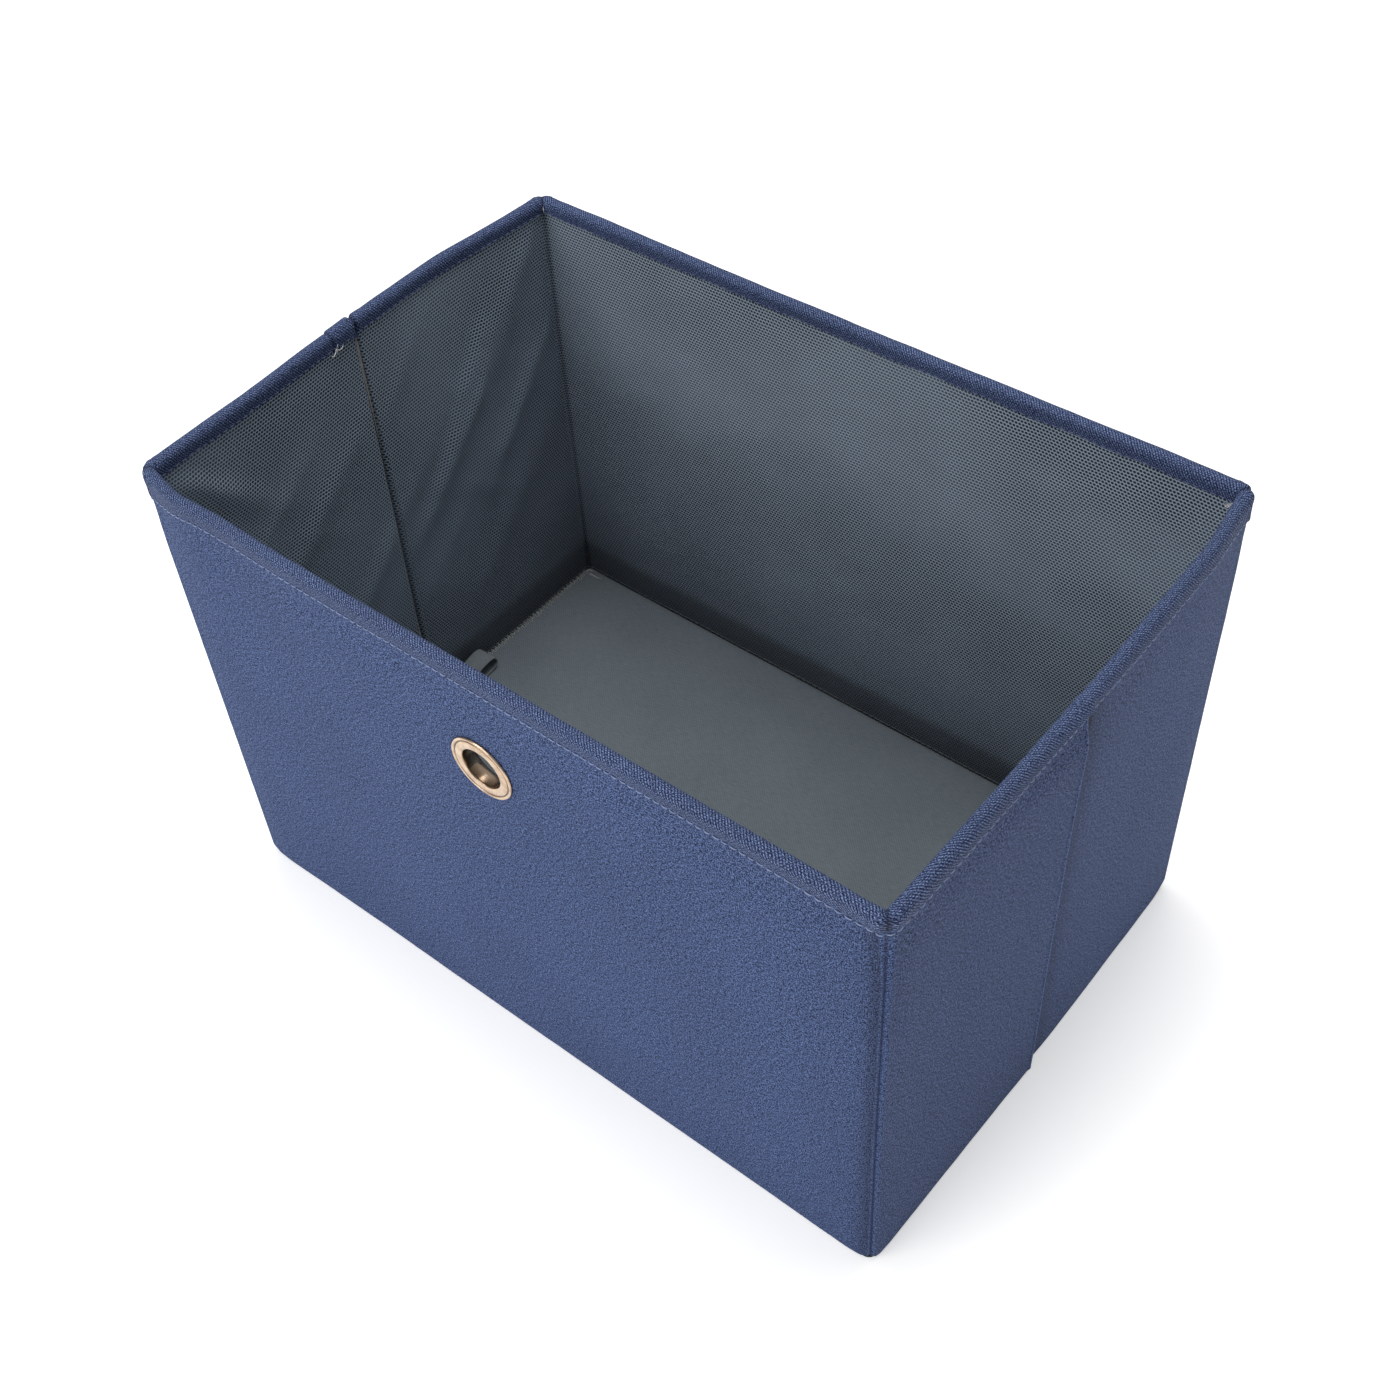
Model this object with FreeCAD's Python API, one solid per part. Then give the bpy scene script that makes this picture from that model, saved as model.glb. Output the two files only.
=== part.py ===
import FreeCAD, Part
import os

# Open fabric storage bin, about 15 x 10 x 10 inches.
# Axes: +X to the right along the long side, +Y to the back, +Z up.
# Origin: centre of the footprint, on the floor. All sizes in millimetres.

# Overall size
WIDTH = 381.0
DEPTH = 254.0
HEIGHT = 257.0

# Wall layers, from outside to inside
COVER_T = 0.8
STIFFENER_T = 2.4
LINING_T = 0.8
STIFFENER_OUT = COVER_T
LINING_OUT = STIFFENER_OUT + STIFFENER_T
WALL_T = LINING_OUT + LINING_T
CORNER_R = 4.0
INNER_CORNER_R = 2.0

# Rim binding, folded over the top edge of the wall
BINDING_T = 0.8
BINDING_DROP_OUT = 7.0
BINDING_DROP_IN = 8.0
BINDING_EDGE_R = 0.6
BINDING_LOW = HEIGHT - BINDING_DROP_OUT
LINING_HIGH = HEIGHT - BINDING_DROP_IN

# Base cloth, carried by the walls a little above the floor
BASE_T = 0.8
BASE_TOP = 13.0

# Greyboard stiffeners
STIFFENER_LOW = BASE_T
STIFFENER_HIGH = HEIGHT - BINDING_T
STIFFENER_END = CORNER_R
STIFFENER_FOOT_R = 9.0
CREASE_GAP = 3.0

# Thread runs
THREAD_PROUD = 0.4
THREAD_W = 0.8
SEAM_BELOW_BINDING = 2.6
CLOSING_LOW = 3.0
CLOSING_TOP_GAP = 1.0
CLOSING_Y = 0.0

# Eyelet in the front wall
EYELET_X = 0.0
EYELET_Z = 198.0
EYELET_HOLE_R = 10.0
BARREL_T = 0.6
EYELET_RIM_H = 0.8
CLINCH_T = 0.7
WASHER_T = 0.8
EYELET_PLAY = 0.3
BARREL_R = EYELET_HOLE_R + BARREL_T
CLINCH_R = BARREL_R + 2.4
EYELET_FLANGE_R = EYELET_HOLE_R + 6.0
CLOTH_HOLE_R = BARREL_R + EYELET_PLAY

# Loose base board
BOARD_GAP = 4.5
BOARD_CORE_T = 3.4
BOARD_CLOTH_T = 0.8
BOARD_T = BOARD_CORE_T + 2.0 * BOARD_CLOTH_T
BOARD_HALF_X = WIDTH / 2.0 - WALL_T - BOARD_GAP
BOARD_HALF_Y = DEPTH / 2.0 - WALL_T - BOARD_GAP
BOARD_CORNER_R = 4.0
BOARD_TOP = BASE_TOP + BOARD_T
OVERLOCK_T = 0.8
OVERLOCK_END_GAP = 2.0
TACK_L = 7.0
TACK_IN = 5.0

# Ribbon pull loop on the board's left edge
LOOP_W = 12.0
LOOP_T = 0.8
LOOP_REACH = 28.0
LOOP_RISE = 9.4
LOOP_START = 1.0
LOOP_FLAT = 6.0
LOOP_IN = 1.0
LOOP_TACK_T = 0.3
LOOP_TACK_W = 1.0
LOOP_TACK_BACK = 0.6


def block(x0, x1, y0, y1, z0, z1):
    """Box between two corners."""
    return Part.makeBox(x1 - x0, y1 - y0, z1 - z0, FreeCAD.Vector(x0, y0, z0))


def rounded_plate(half_x, half_y, radius, z0, z1):
    """Flat plate centred on the origin, with rounded upright corners."""
    plate = block(-half_x, half_x, -half_y, half_y, z0, z1)
    upright = [
        edge for edge in plate.Edges
        if abs(edge.Vertexes[0].X - edge.Vertexes[1].X) < 1e-6
        and abs(edge.Vertexes[0].Y - edge.Vertexes[1].Y) < 1e-6
    ]
    return plate.makeFillet(radius, upright)


def corner_radius(inset):
    """Corner radius of the wall at a depth below its outer face."""
    if inset < LINING_OUT:
        return CORNER_R - inset
    return INNER_CORNER_R + WALL_T - inset


def footprint(inset, z0, z1):
    """Solid plug of the bin's plan shape, drawn in from the outer face by inset."""
    return rounded_plate(WIDTH / 2.0 - inset, DEPTH / 2.0 - inset, corner_radius(inset), z0, z1)


def wall_ring(inset_out, inset_in, z0, z1):
    """Closed band of wall between two insets."""
    return footprint(inset_out, z0, z1).cut(footprint(inset_in, z0 - 1.0, z1 + 1.0))


def eyelet_cutter(radius):
    """Rod along Y through the front wall at the eyelet."""
    start = FreeCAD.Vector(EYELET_X, -DEPTH / 2.0 - 10.0, EYELET_Z)
    return Part.makeCylinder(radius, 10.0 + 3.0 * WALL_T, start, FreeCAD.Vector(0, 1, 0))


def make_outer_cover():
    """Blue cloth sleeve around the four sides, up to the rim binding."""
    sleeve = wall_ring(0.0, COVER_T, 0.0, BINDING_LOW)
    return sleeve.cut(eyelet_cutter(CLOTH_HOLE_R))


def make_rim_binding():
    """Strip of the same cloth folded over the top edge."""
    outer_leg = wall_ring(0.0, COVER_T, BINDING_LOW, HEIGHT)
    inner_leg = wall_ring(LINING_OUT, WALL_T, LINING_HIGH, HEIGHT)
    top = wall_ring(0.0, WALL_T, HEIGHT - BINDING_T, HEIGHT)
    binding = top.fuse([outer_leg, inner_leg]).removeSplitter()
    top_edges = [
        edge for edge in binding.Edges
        if abs(edge.BoundBox.ZMin - HEIGHT) < 1e-6
        and abs(edge.BoundBox.ZMax - HEIGHT) < 1e-6
    ]
    return binding.makeFillet(BINDING_EDGE_R, top_edges)


def make_wall_lining():
    """Nonwoven lining of the four walls, from the base cloth up to the binding."""
    lining = wall_ring(LINING_OUT, WALL_T, BASE_TOP, LINING_HIGH)
    return lining.cut(eyelet_cutter(CLOTH_HOLE_R))


def make_base_cloth():
    """Bottom cloth: under the stiffeners' feet, up inside them, then across."""
    foot = wall_ring(COVER_T, WALL_T, 0.0, BASE_T)
    riser = wall_ring(LINING_OUT, WALL_T, 0.0, BASE_TOP)
    panel = footprint(LINING_OUT, BASE_TOP - BASE_T, BASE_TOP)
    return panel.fuse([riser, foot]).removeSplitter()


def round_foot_corners(panel, along):
    """Round the two bottom corners of an upright panel that runs along X or Y."""
    corners = []
    for edge in panel.Edges:
        low = edge.BoundBox.ZMax < STIFFENER_LOW + 1e-6
        length = edge.BoundBox.XLength if along == "y" else edge.BoundBox.YLength
        across = abs(length - STIFFENER_T) < 1e-6
        if low and across:
            corners.append(edge)
    return panel.makeFillet(STIFFENER_FOOT_R, corners)


def make_long_stiffener(side):
    """Front (side -1) or back (side +1) greyboard panel."""
    half_x = WIDTH / 2.0 - STIFFENER_END
    face = DEPTH / 2.0 - STIFFENER_OUT
    near = side * (face - STIFFENER_T)
    far = side * face
    panel = block(-half_x, half_x, min(near, far), max(near, far), STIFFENER_LOW, STIFFENER_HIGH)
    return round_foot_corners(panel, "x")


def make_half_stiffener(side_x, side_y):
    """One of the two greyboard panels of a short side, split at the middle crease."""
    face = WIDTH / 2.0 - STIFFENER_OUT
    near = side_x * (face - STIFFENER_T)
    far = side_x * face
    crease = side_y * CREASE_GAP / 2.0
    end = side_y * (DEPTH / 2.0 - STIFFENER_END)
    panel = block(min(near, far), max(near, far), min(crease, end), max(crease, end),
                  STIFFENER_LOW, STIFFENER_HIGH)
    return round_foot_corners(panel, "y")


def make_front_stiffener():
    """Front panel with the hole for the eyelet's barrel."""
    return make_long_stiffener(-1).cut(eyelet_cutter(CLOTH_HOLE_R))


def make_rim_topstitching():
    """Thread run around the outside, just below the rim binding."""
    high = BINDING_LOW - SEAM_BELOW_BINDING
    low = high - THREAD_W
    run = rounded_plate(WIDTH / 2.0 + THREAD_PROUD, DEPTH / 2.0 + THREAD_PROUD,
                        CORNER_R + THREAD_PROUD, low, high)
    return run.cut(footprint(0.0, low - 1.0, high + 1.0))


def make_cover_closing_stitching():
    """Upright thread run where the cover's two ends meet, in the left crease."""
    high = BINDING_LOW - SEAM_BELOW_BINDING - THREAD_W - CLOSING_TOP_GAP
    face = -WIDTH / 2.0
    return block(face - THREAD_PROUD, face, CLOSING_Y - THREAD_W / 2.0, CLOSING_Y + THREAD_W / 2.0,
                 CLOSING_LOW, high)


def make_lining_closing_stitching():
    """Upright thread run where the lining's two ends meet, inside the left crease."""
    face = -WIDTH / 2.0 + WALL_T
    return block(face, face + THREAD_PROUD, CLOSING_Y - THREAD_W / 2.0, CLOSING_Y + THREAD_W / 2.0,
                 BASE_TOP + THREAD_W + CLOSING_TOP_GAP, LINING_HIGH - CLOSING_TOP_GAP)


def make_base_seam_stitching():
    """Thread run in the corner between the base cloth and the lining."""
    return wall_ring(WALL_T, WALL_T + THREAD_PROUD, BASE_TOP, BASE_TOP + THREAD_W)


def turned(points, arcs):
    """Turn a closed profile about the eyelet's axis.

    points holds (radius, height out of the front face); arcs maps the index of an
    arc's first point to the point it passes through, and every other side is straight.
    """
    def place(radius, out):
        return FreeCAD.Vector(EYELET_X + radius, -DEPTH / 2.0 - out, EYELET_Z)

    edges = []
    for index, point in enumerate(points):
        start = place(*point)
        end = place(*points[(index + 1) % len(points)])
        if index in arcs:
            edges.append(Part.Arc(start, place(*arcs[index]), end).toShape())
        else:
            edges.append(Part.makeLine(start, end))
    face = Part.Face(Part.Wire(edges))
    return face.revolve(FreeCAD.Vector(EYELET_X, 0, EYELET_Z), FreeCAD.Vector(0, 1, 0), 360)


def make_eyelet_flange():
    """Brass eyelet: rolled rim, domed flange, barrel through the wall, clinched end."""
    washer_in = -WALL_T - WASHER_T
    rim_in = EYELET_FLANGE_R - 1.4
    points = [
        (EYELET_HOLE_R, washer_in - CLINCH_T),
        (CLINCH_R, washer_in - CLINCH_T),
        (CLINCH_R, washer_in),
        (BARREL_R, washer_in),
        (BARREL_R, 0.0),
        (EYELET_FLANGE_R, 0.0),
        (EYELET_FLANGE_R, EYELET_RIM_H),
        (rim_in, EYELET_RIM_H),
        (BARREL_R, 1.5 * EYELET_RIM_H),
        (EYELET_HOLE_R, EYELET_RIM_H),
    ]
    arcs = {
        6: (EYELET_FLANGE_R - 0.7, 2.0 * EYELET_RIM_H),
        7: ((rim_in + BARREL_R) / 2.0, 1.7 * EYELET_RIM_H),
        8: (EYELET_HOLE_R + 0.2, 1.3 * EYELET_RIM_H),
    }
    return turned(points, arcs)


def make_eyelet_washer():
    """Flat brass ring on the lining, held by the eyelet's clinched end."""
    points = [
        (CLOTH_HOLE_R, -WALL_T),
        (EYELET_FLANGE_R, -WALL_T),
        (EYELET_FLANGE_R, -WALL_T - WASHER_T),
        (CLOTH_HOLE_R, -WALL_T - WASHER_T),
    ]
    return turned(points, {})


def board_blank(inset, z0, z1):
    """Board's plan shape, drawn in by inset."""
    return rounded_plate(BOARD_HALF_X - inset, BOARD_HALF_Y - inset, BOARD_CORNER_R - inset, z0, z1)


def beyond_left_edge():
    """Everything of the board that belongs to the edge stitching's depth."""
    edge = -BOARD_HALF_X + OVERLOCK_T
    return block(edge - 50.0, edge, -DEPTH, DEPTH, 0.0, HEIGHT)


def make_board_core():
    """Greyboard sheet inside the board's cloth case."""
    core = board_blank(BOARD_CLOTH_T, BASE_TOP + BOARD_CLOTH_T, BOARD_TOP - BOARD_CLOTH_T)
    return core.cut(beyond_left_edge())


def make_board_cover():
    """Cloth case around the core, open at the left edge where it is sewn shut."""
    case = board_blank(0.0, BASE_TOP, BOARD_TOP).cut(beyond_left_edge())
    return case.cut(make_board_core())


def make_board_edge_stitching():
    """Overlock run that closes the case along the board's left edge."""
    half_y = BOARD_HALF_Y - BOARD_CORNER_R - OVERLOCK_END_GAP
    return block(-BOARD_HALF_X, -BOARD_HALF_X + OVERLOCK_T, -half_y, half_y,
                 BASE_TOP + BOARD_CLOTH_T / 2.0, BOARD_TOP - BOARD_CLOTH_T / 2.0)


def make_board_corner_tack():
    """Short bar of stitches near the board's back left corner."""
    x0 = -BOARD_HALF_X + TACK_IN
    y1 = BOARD_HALF_Y - TACK_IN
    return block(x0, x0 + TACK_L, y1 - THREAD_W, y1, BOARD_TOP, BOARD_TOP + THREAD_PROUD)


def loop_x_range():
    """Left and right edges of the ribbon."""
    left = -BOARD_HALF_X + LOOP_IN
    return left, left + LOOP_W


def make_loop_tack():
    """Stitches that hold the ribbon's ends to the board."""
    left, right = loop_x_range()
    y1 = -LOOP_TACK_BACK
    return block(left, right, y1 - LOOP_TACK_W, y1, BOARD_TOP, BOARD_TOP + LOOP_TACK_T)


def make_pull_loop():
    """Folded ribbon, both ends at the middle of the left edge, lying towards the back."""
    left, right = loop_x_range()

    def place(y, rise):
        return FreeCAD.Vector(left, y, BOARD_TOP + rise)

    tip = LOOP_RISE / 2.0
    corners = [
        place(LOOP_START, 0.0),
        place(LOOP_FLAT, 0.0),
        place(LOOP_REACH - tip, 0.6),
        place(LOOP_REACH - tip, LOOP_RISE),
        place(LOOP_FLAT, 2.0 * LOOP_T),
        place(LOOP_START, 2.0 * LOOP_T),
    ]
    edges = [
        Part.makeLine(corners[0], corners[1]),
        Part.makeLine(corners[1], corners[2]),
        Part.Arc(corners[2], place(LOOP_REACH, tip + 0.3), corners[3]).toShape(),
        Part.Arc(corners[3], place(LOOP_REACH / 2.0, 0.8 * LOOP_RISE), corners[4]).toShape(),
        Part.makeLine(corners[4], corners[5]),
        Part.makeLine(corners[5], corners[0]),
    ]
    ribbon = Part.Face(Part.Wire(edges))
    # Where the two layers lie together the offset leaves only a speck beside the eye.
    eye = max(ribbon.makeOffset2D(-LOOP_T).Faces, key=lambda face: face.Area)
    across = FreeCAD.Vector(right - left, 0, 0)
    return ribbon.extrude(across).cut(eye.extrude(across))


PARTS = {
    "outer_cover": make_outer_cover,
    "rim_binding": make_rim_binding,
    "wall_lining": make_wall_lining,
    "base_cloth": make_base_cloth,
    "front_stiffener": make_front_stiffener,
    "back_stiffener": lambda: make_long_stiffener(1),
    "left_front_stiffener": lambda: make_half_stiffener(-1, -1),
    "left_rear_stiffener": lambda: make_half_stiffener(-1, 1),
    "right_front_stiffener": lambda: make_half_stiffener(1, -1),
    "right_rear_stiffener": lambda: make_half_stiffener(1, 1),
    "rim_topstitching": make_rim_topstitching,
    "cover_closing_stitching": make_cover_closing_stitching,
    "lining_closing_stitching": make_lining_closing_stitching,
    "base_seam_stitching": make_base_seam_stitching,
    "eyelet_flange": make_eyelet_flange,
    "eyelet_washer": make_eyelet_washer,
    "board_core": make_board_core,
    "board_cover": make_board_cover,
    "board_edge_stitching": make_board_edge_stitching,
    "board_corner_tack": make_board_corner_tack,
    "loop_tack": make_loop_tack,
    "pull_loop": make_pull_loop,
}

os.makedirs("parts", exist_ok=True)
for name, make in PARTS.items():
    make().exportStep("parts/" + name + ".step")
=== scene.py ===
import math
import random

import bpy
from mathutils import Matrix, Vector, noise


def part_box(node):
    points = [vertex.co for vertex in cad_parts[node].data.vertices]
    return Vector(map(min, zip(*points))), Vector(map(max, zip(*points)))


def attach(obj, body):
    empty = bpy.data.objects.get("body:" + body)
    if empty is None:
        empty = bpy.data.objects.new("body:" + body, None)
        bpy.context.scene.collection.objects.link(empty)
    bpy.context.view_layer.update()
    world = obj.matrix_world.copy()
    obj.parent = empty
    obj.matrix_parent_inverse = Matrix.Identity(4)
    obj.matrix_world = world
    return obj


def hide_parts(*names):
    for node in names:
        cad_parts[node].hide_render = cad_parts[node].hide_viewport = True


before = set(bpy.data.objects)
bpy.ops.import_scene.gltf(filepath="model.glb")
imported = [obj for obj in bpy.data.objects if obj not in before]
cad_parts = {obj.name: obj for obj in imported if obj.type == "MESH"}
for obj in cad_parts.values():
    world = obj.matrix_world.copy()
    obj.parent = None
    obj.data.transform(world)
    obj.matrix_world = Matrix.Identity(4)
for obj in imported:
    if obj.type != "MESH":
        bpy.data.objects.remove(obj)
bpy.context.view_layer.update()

MM = 0.001

# ---- sizes, in mm, from the frame


def box_mm(node):
    """Low and high corner of a CAD node's box, in mm."""
    return [[v / MM for v in corner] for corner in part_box(node)]


rim_low, rim_high = box_mm("rim_binding")
HX, HY, TOP = rim_high
BAND_LOW = rim_low[2]
LINING_TOP = box_mm("wall_lining")[1][2]
BASE_TOP = box_mm("base_cloth")[1][2]
BOARD_HX, BOARD_HY, BOARD_TOP = box_mm("board_cover")[1]
loop_low, loop_high = box_mm("pull_loop")
LOOP_X0, LOOP_X1, LOOP_END = loop_low[0], loop_high[0], loop_high[1]
ring_low, ring_high = box_mm("eyelet_flange")
EYELET_X = (ring_low[0] + ring_high[0]) / 2
EYELET_Z = (ring_low[2] + ring_high[2]) / 2
WALL = 4.0  # from the cover's outer face to the lining's inner face

# ---- small maths


def clamp(v, a=0.0, b=1.0):
    return max(a, min(b, v))


def smooth(v, a, b):
    t = clamp((v - a) / (b - a))
    return t * t * (3 - 2 * t)


def bump(v, width):
    return math.exp(-(v / width) ** 2)


def lerp_table(v, table):
    if v <= table[0][0]:
        return table[0][1]
    for (x0, y0), (x1, y1) in zip(table, table[1:]):
        if v <= x1:
            t = smooth(v, x0, x1)
            return y0 + (y1 - y0) * t
    return table[-1][1]


def n3(x, y, z):
    return noise.noise(Vector((x, y, z)))


# ---- plan of the wall
# Segments in order round the bin, seen from above, anticlockwise:
# 0 left side, 1 front-left corner, 2 front, 3 front-right corner, 4 right side,
# 5 back-right corner, 6 back, 7 back-left corner.
CORNER_CENTRE_SIGN = {1: (-1, -1), 3: (1, -1), 5: (1, 1), 7: (-1, 1)}
CORNER_START = {1: math.pi, 3: 1.5 * math.pi, 5: 0.0, 7: 0.5 * math.pi}


def plan(seg, t, inset, r):
    """Point and outward normal on the plan outline at an inset, with corner radius r."""
    hx, hy = HX - inset, HY - inset
    if seg == 0:
        return -hx, (hy - r) * (1 - 2 * t), -1.0, 0.0
    if seg == 2:
        return (hx - r) * (2 * t - 1), -hy, 0.0, -1.0
    if seg == 4:
        return hx, (hy - r) * (2 * t - 1), 1.0, 0.0
    if seg == 6:
        return (hx - r) * (1 - 2 * t), hy, 0.0, 1.0
    sx, sy = CORNER_CENTRE_SIGN[seg]
    a = CORNER_START[seg] + t * math.pi / 2
    nx, ny = math.cos(a), math.sin(a)
    return sx * (hx - r) + nx * r, sy * (hy - r) + ny * r, nx, ny


R0 = 4.0  # plan radius of the cover's corners
RIM_R = 5.4  # plan radius of the rim strip's corners
SEG_LEN = [2 * (HY - R0), R0 * math.pi / 2, 2 * (HX - R0), R0 * math.pi / 2] * 2
SEG_START = [sum(SEG_LEN[:k]) for k in range(9)]
AROUND = SEG_START[8]


def locate(s):
    s %= AROUND
    for k in range(8):
        if s <= SEG_START[k + 1]:
            return k, (s - SEG_START[k]) / SEG_LEN[k]
    return 7, 1.0


def corner_gap(seg, t):
    """Distance along the outline to the nearest corner's middle, and that corner."""
    arc = R0 * math.pi / 2
    if seg % 2:
        return abs(t - 0.5) * arc, seg
    if t < 0.5:
        return t * SEG_LEN[seg] + arc / 2, (seg - 1) % 8
    return (1 - t) * SEG_LEN[seg] + arc / 2, seg + 1


END_PLACES = (0.7, 1.5, 2.4, 3.4, 4.6, 6.0, 8.0, 10.5, 13.5, 17.0, 21.0)
FINE = 0.5
LEAST_STEP = 0.25


def side_places(length, step, dense=()):
    """Positions along a side, 0 to length, finer near its ends and at dense (centre, reach) places."""
    stops = {0.0, length}
    for d in END_PLACES:
        stops.add(d)
        stops.add(length - d)
    for centre, reach in dense:
        k = -reach
        while k <= reach + 1e-6:
            stops.add(round(centre + k, 3))
            k += FINE
    p = END_PLACES[-1]
    while p < length - END_PLACES[-1]:
        if all(abs(p - centre) > reach for centre, reach in dense):
            stops.add(round(p, 3))
        p += step
    out = []
    for v in sorted(stops):
        if not out or v - out[-1] > LEAST_STEP:
            out.append(v)
    return out


# y of each side's crease, half way up
LEFT_CREASE = -3.0
RIGHT_CREASE = -5.2
LAP = -14.5  # y of the rim strip's overlap on the left side


def crease_y(z):
    """Where the right side's outer crease runs, leaning a little to the front at the top."""
    return -3.3 - 3.8 * z / TOP


def left_crease_y(z):
    """Where the left side's inner crease runs: before the middle at the foot, at the middle at the rim."""
    return -6.0 + 6.0 * z / TOP


CORNER_COLUMNS = 10


def make_columns(step):
    """Columns round the bin as (segment, share of its length), fine at the corners, creases and overlap."""
    dense = {0: ((HY - R0 - LEFT_CREASE, 5.0), (HY - R0 - LAP, 1.5)), 4: ((RIGHT_CREASE + HY - R0, 5.0),)}
    cols = []
    for seg in range(8):
        if seg % 2:
            cols += [(seg, k / CORNER_COLUMNS) for k in range(1, CORNER_COLUMNS)]
        else:
            length = SEG_LEN[seg]
            cols += [(seg, v / length) for v in side_places(length, step, dense.get(seg, ()))]
    return cols


def ridge(y, crease):
    """1 at a side's crease, falling evenly to 0 near its two corners."""
    return clamp(1 - abs(y - crease) / (HY - 2 - crease if y > crease else HY - 2 + crease))


def bow(x, y, z):
    """How far the soft walls stand out of the straight plan, in mm."""
    g = clamp(z / TOP, 0.0, 1.1)
    dx = dy = 0.0
    # the left wall stands out most at its crease, and again behind it
    if x < -150:
        rounded = ridge(y, LEFT_CREASE) - 0.04 * bump(y - LEFT_CREASE, 9)
        lean = 5.4 * max(rounded, 0.0) + 2.9 * bump(y - 58, 40) - 0.9 * bump(y + 62, 34)
        dx -= lean * g ** 1.15 * smooth(-x, 150, 180)
    if x > 150:
        dx += 1.6 * ridge(y, -5.0) * g * smooth(x, 150, 180)
    # the front and right walls lean out towards the rim
    high = min(g, 1.0) ** 3.2
    if x > 140:
        share = lerp_table(y, ((-127, 0.95), (0, 0.85), (85, 0.85), (127, 0.0)))
        dx += 4.6 * high * smooth(x, 140, 184) * share
    if y < -80:
        dip = 1 - 0.2 * bump(x + 138, 22)
        dy -= 4.9 * min(g, 1.0) ** 4.5 * smooth(-y, 80, 122) * smooth(x, -HX, -HX + 30) * dip
    # the back wall bellies a little
    if y > 90:
        dy += 0.8 * math.cos(clamp(x / HX, -1, 1) * math.pi / 2) * math.sin(g * 3.0) * smooth(y, 90, 120)
        dy += 2.0 * smooth(x, -60, 185) * g ** 1.2 * smooth(y, 90, 120)
    return dx, dy


# ---- mesh helpers


def new_object(name, verts, faces, uvs, material, painted_light=None, smooth_faces=True):
    """Mesh in metres from points in mm, with its own cloth coordinates in metres.

    The per-point numbers are painted light and shade: above 0 a painted highlight lightens the cloth, below 0
    painted shade darkens it.
    """
    mesh = bpy.data.meshes.new(name)
    mesh.from_pydata([(v[0] * MM, v[1] * MM, v[2] * MM) for v in verts], [], faces)
    layer = mesh.uv_layers.new(name="weave")
    layer.data.foreach_set("uv", [a * MM for face_uv in uvs for point_uv in face_uv for a in point_uv])
    if painted_light is not None:
        mesh.attributes.new("painted_light", "FLOAT", "POINT").data.foreach_set("value", painted_light)
    mesh.polygons.foreach_set("use_smooth", [smooth_faces] * len(mesh.polygons))
    mesh.update()
    obj = bpy.data.objects.new(name, mesh)
    bpy.context.scene.collection.objects.link(obj)
    mesh.materials.append(material)
    return obj


def belongs(obj, node, body):
    """Say which CAD node a piece stands for and which body it rides on."""
    if node:
        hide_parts(node)
    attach(obj, body)


def ring_loft(name, cols, rows, point, uv, material, painted_light, skip=None):
    """Closed band round the bin: rows by columns of points, joined by quads."""
    nc, nr = len(cols), len(rows)
    verts = [point(c, r) for r in rows for c in cols]
    faces, uvs = [], []
    ss = [SEG_START[c[0]] + c[1] * SEG_LEN[c[0]] for c in cols]
    for j in range(nr - 1):
        for i in range(nc):
            k = (i + 1) % nc
            quad = (j * nc + i, j * nc + k, (j + 1) * nc + k, (j + 1) * nc + i)
            if skip is not None:
                centre = [sum(verts[q][a] for q in quad) / 4 for a in range(3)]
                if skip(centre):
                    continue
            s0 = ss[i]
            s1 = ss[k] if k else AROUND + ss[0]
            faces.append(quad)
            uvs.append((uv(s0, rows[j]), uv(s1, rows[j]), uv(s1, rows[j + 1]), uv(s0, rows[j + 1])))
    # one painted highlight or painted shade number a point
    painted_values = [painted_light(c, verts[j * nc + i]) for j in range(nr) for i, c in enumerate(cols)]
    return new_object(name, verts, faces, uvs, material, painted_values)


def grow(parts):
    """Join several (verts, faces, uvs) lists into one."""
    verts, faces, uvs = [], [], []
    for v, f, u in parts:
        base = len(verts)
        verts += v
        faces += [tuple(i + base for i in face) for face in f]
        uvs += u
    return verts, faces, uvs


NEARLY_UP = Vector((0.13, 0.29, 0.95))


def tube(path, radius, sides=5, flat=1.0):
    """Thin tube through a few points, in mm, drawn in at both ends; flat squeezes its height."""
    pts = [Vector(p) for p in path]
    n = len(pts)
    verts, faces, uvs = [], [], []
    lengths = [0.0]
    for a, b in zip(pts, pts[1:]):
        lengths.append(lengths[-1] + (b - a).length)
    for k, p in enumerate(pts):
        d = (pts[min(k + 1, n - 1)] - pts[max(k - 1, 0)]).normalized()
        side = d.cross(NEARLY_UP).normalized()
        top = side.cross(d).normalized()
        r = radius * (0.45 if k in (0, n - 1) else 1.0)
        for m in range(sides):
            a = 2 * math.pi * m / sides
            q = p + side * (math.cos(a) * r) + top * (math.sin(a) * r * flat)
            verts.append(tuple(q))
    for k in range(n - 1):
        for m in range(sides):
            m2 = (m + 1) % sides
            faces.append((k * sides + m, k * sides + m2, (k + 1) * sides + m2, (k + 1) * sides + m))
            u0, u1 = m * 0.3, (m + 1) * 0.3
            uvs.append(((u0, lengths[k]), (u1, lengths[k]), (u1, lengths[k + 1]), (u0, lengths[k + 1])))
    faces.append(tuple(reversed(range(sides))))
    uvs.append(tuple((0.0, 0.0) for _ in range(sides)))
    faces.append(tuple((n - 1) * sides + m for m in range(sides)))
    uvs.append(tuple((0.0, lengths[-1]) for _ in range(sides)))
    return verts, faces, uvs


def thread_from(start, steps, radius=0.2):
    """Tube through the points that lie at the given steps from start."""
    start = Vector(start)
    return tube([start + Vector(step) for step in steps], radius)


def threads(name, parts, material, node, body):
    """One piece made of many short tubes."""
    belongs(new_object(name, *grow(parts), material), node, body)


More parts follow.
